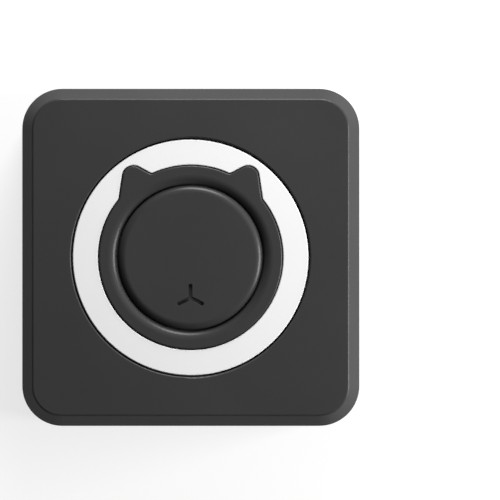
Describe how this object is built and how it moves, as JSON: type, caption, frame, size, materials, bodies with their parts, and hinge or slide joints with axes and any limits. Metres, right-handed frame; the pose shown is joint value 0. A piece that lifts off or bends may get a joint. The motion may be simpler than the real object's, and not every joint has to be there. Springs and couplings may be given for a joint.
{
  "type": "mini sticker printer",
  "caption": "Square pocket thermal printer with a hinged front cover, pale eared ring, roll bay, sprung print head, geared platen, latch, power key and charging socket.",
  "frame": {"origin": "under the middle of the body, on the plane that the rubber feet stand on", "axes": "+X to the right and +Y up over the front face, +Z from the desk to the front face"},
  "size_m": [0.084, 0.084, 0.041],
  "materials": {
    "case_black": "matt moulded plastic with a fine grain",
    "cover_black": "matt moulded plastic with a fine grain",
    "ring_white": "satin white plastic",
    "disc_black": "matt moulded plastic",
    "key_black": "satin moulded plastic",
    "tray_black": "moulded plastic",
    "frame_grey": "glass filled plastic",
    "foot_rubber": "matt rubber",
    "platen_rubber": "ground rubber",
    "screw_steel": "zinc plated steel",
    "shaft_steel": "ground steel",
    "spring_steel": "spring wire",
    "gear_white": "natural acetal",
    "brass": "turned brass",
    "motor_zinc": "plated steel can",
    "head_aluminium": "bare aluminium",
    "head_ceramic": "white alumina with a glaze line",
    "head_resin": "dark resin",
    "flex_amber": "amber film",
    "bush_black": "acetal",
    "board_green": "green solder mask",
    "chip_black": "moulded chip",
    "shield_tin": "tinned steel",
    "capacitor_tan": "ceramic body",
    "plug_white": "nylon",
    "port_steel": "plated steel",
    "light_clear": "clear plastic",
    "led_white": "clear resin",
    "cell_silver": "foil pouch",
    "lead_red": "vinyl insulation",
    "lead_black": "vinyl insulation",
    "ribbon_grey": "vinyl ribbon",
    "sensor_black": "dark resin"
  },
  "bodies": {
    "base": {"rear_case": "case_black", "rubber_feet": "foot_rubber", "case_screws": "screw_steel", "hinge_pins": "shaft_steel", "paper_tray": "tray_black", "mech_frame": "frame_grey", "mech_screws": "screw_steel", "head_springs": "spring_steel", "head_flex": "flex_amber", "head_pivot_shaft": "shaft_steel", "paper_sensor": "sensor_black", "idler_stud": "shaft_steel", "motor_body": "motor_zinc", "motor_screws": "screw_steel", "motor_leads": "lead_red", "tact_switch": "chip_black", "usb_shell": "port_steel", "usb_tongue": "chip_black", "status_led": "led_white", "light_window": "light_clear", "main_board": "board_green", "io_board": "board_green", "board_screws": "screw_steel", "board_chips": "chip_black", "rf_shield": "shield_tin", "board_capacitors": "capacitor_tan", "board_connectors": "plug_white", "io_ribbon": "ribbon_grey", "battery_cell": "cell_silver", "battery_lead_red": "lead_red", "battery_lead_black": "lead_black", "battery_plug": "plug_white"},
    "cover": {"cover_shell": "cover_black", "front_ring": "ring_white", "face_disc": "disc_black", "platen_bracket": "tray_black", "cover_screws": "screw_steel", "tear_bar": "shaft_steel", "latch_hook": "tray_black", "platen_bushes": "bush_black"},
    "platen": {"platen_shaft": "shaft_steel", "platen_rubber": "platen_rubber", "platen_gear": "gear_white"},
    "idler": {"idler_gear": "gear_white"},
    "motor_rotor": {"motor_pinion": "brass", "motor_shaft": "shaft_steel"},
    "print_head": {"head_heatsink": "head_aluminium", "head_substrate": "head_ceramic", "head_driver": "head_resin"},
    "power_key": {"power_button": "key_black", "tact_plunger": "plug_white"},
    "release_key": {"release_button": "key_black"}
  },
  "joints": [
    {"name": "cover_hinge", "type": "hinge", "parent": "base", "child": "cover", "pos_m": [0, -0.0365, 0.0308], "axis": [1, 0, 0], "range_deg": [0, 90], "deforming": ["latch_hook"]},
    {"name": "platen_spin", "type": "hinge", "parent": "cover", "child": "platen", "pos_m": [0, 0.033, 0.028], "axis": [1, 0, 0], "continuous": true},
    {"name": "idler_spin", "type": "hinge", "parent": "base", "child": "idler", "pos_m": [0, 0.03038, 0.0208], "axis": [1, 0, 0], "continuous": true},
    {"name": "motor_spin", "type": "hinge", "parent": "base", "child": "motor_rotor", "pos_m": [0, 0.02329, 0.01485], "axis": [1, 0, 0], "continuous": true},
    {"name": "head_pivot", "type": "hinge", "parent": "base", "child": "print_head", "pos_m": [0, 0.0205, 0.02191], "axis": [-1, 0, 0], "range_deg": [0, 2.5], "stiffness_Nm_per_rad": 0.06, "springref_deg": -5.73, "deforming": ["head_springs", "head_flex"]},
    {"name": "power_press", "type": "slide", "parent": "base", "child": "power_key", "axis": [-1, 0, 0], "range_m": [0, 0.0004], "stiffness_N_per_m": 250, "springref_m": -0.0004},
    {"name": "release_press", "type": "slide", "parent": "base", "child": "release_key", "axis": [1, 0, 0], "range_m": [0, 0.0015], "stiffness_N_per_m": 150, "springref_m": -0.0005}
  ],
  "couplings": [
    {"joint": "idler_spin", "follows": "platen_spin", "ratio": -1.7143},
    {"joint": "motor_spin", "follows": "platen_spin", "ratio": 3.9184}
  ]
}
